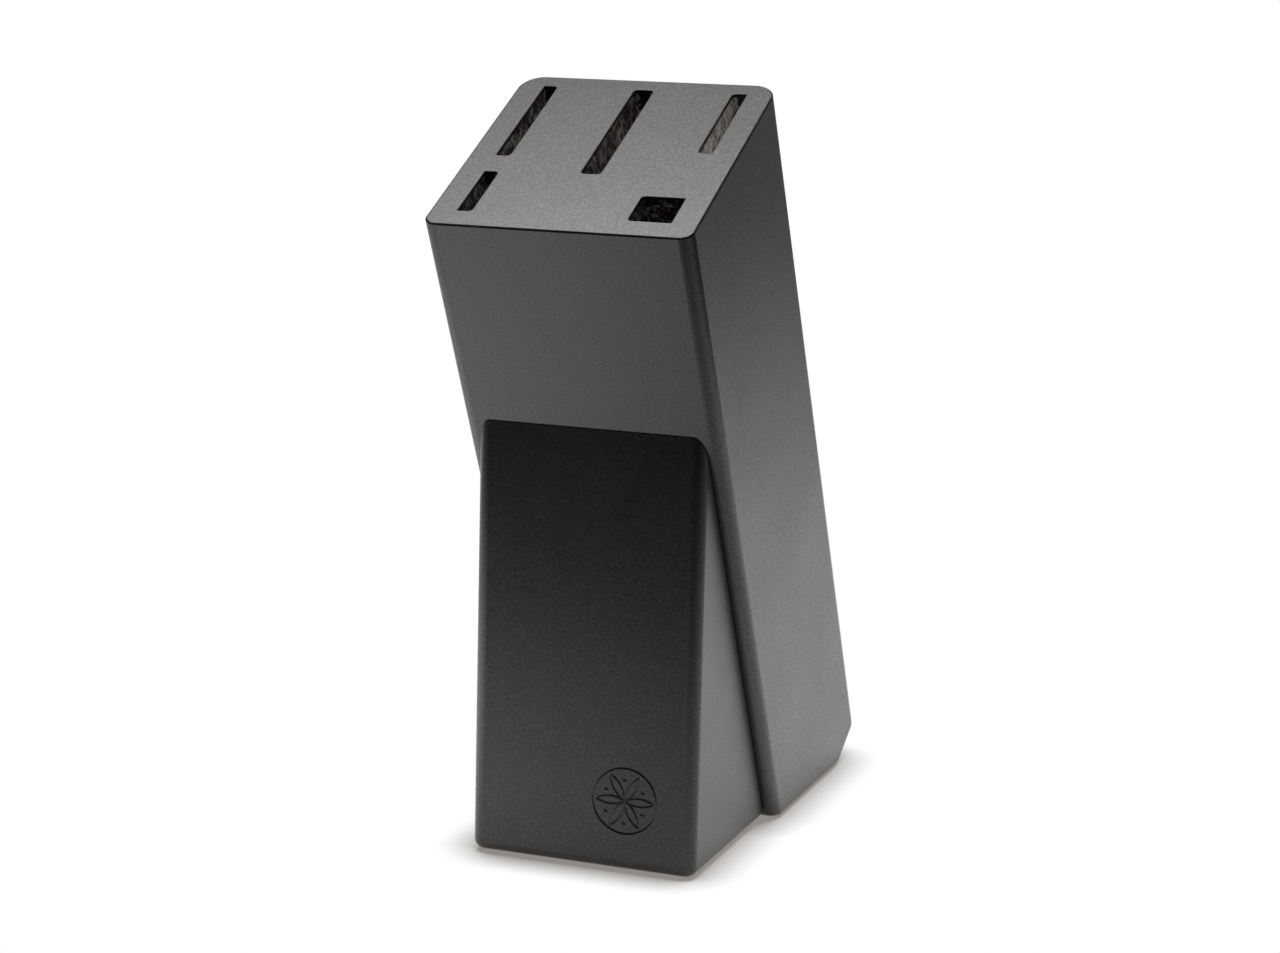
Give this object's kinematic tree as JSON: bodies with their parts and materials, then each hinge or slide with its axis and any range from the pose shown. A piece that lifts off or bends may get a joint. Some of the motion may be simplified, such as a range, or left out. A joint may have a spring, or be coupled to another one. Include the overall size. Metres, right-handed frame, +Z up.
{
  "type": "knife block",
  "caption": "Leaning black wooden knife block with stopped blade channels, a square steel channel and a wedge foot on rubber pads; no knives in it.",
  "frame": {"origin": "under the middle of the bounding box, on the surface the block stands on (lower faces of the rubber pads)", "axes": "+X to the right as seen from the front, -Y the front where the wedge foot stands, +Z up; the channels lean 27.5 degrees forward of +Z"},
  "size_m": [0.09, 0.2107, 0.2594],
  "materials": {
    "lacquered_wood": "satin black lacquer over stained beech, raw stained wood inside the channels",
    "raw_beech": "raw beech",
    "pad_rubber": "matte black rubber",
    "screw_steel": "bright zinc plate"
  },
  "bodies": {
    "root": {"left_cheek": "lacquered_wood", "left_core": "lacquered_wood", "right_core": "lacquered_wood", "right_cheek": "lacquered_wood", "front_foot": "lacquered_wood", "left_dowel": "raw_beech", "right_dowel": "raw_beech", "front_left_pad": "pad_rubber", "front_right_pad": "pad_rubber", "rear_left_pad": "pad_rubber", "rear_right_pad": "pad_rubber", "front_left_screw": "screw_steel", "front_right_screw": "screw_steel", "rear_left_screw": "screw_steel", "rear_right_screw": "screw_steel"}
  },
  "joints": []
}
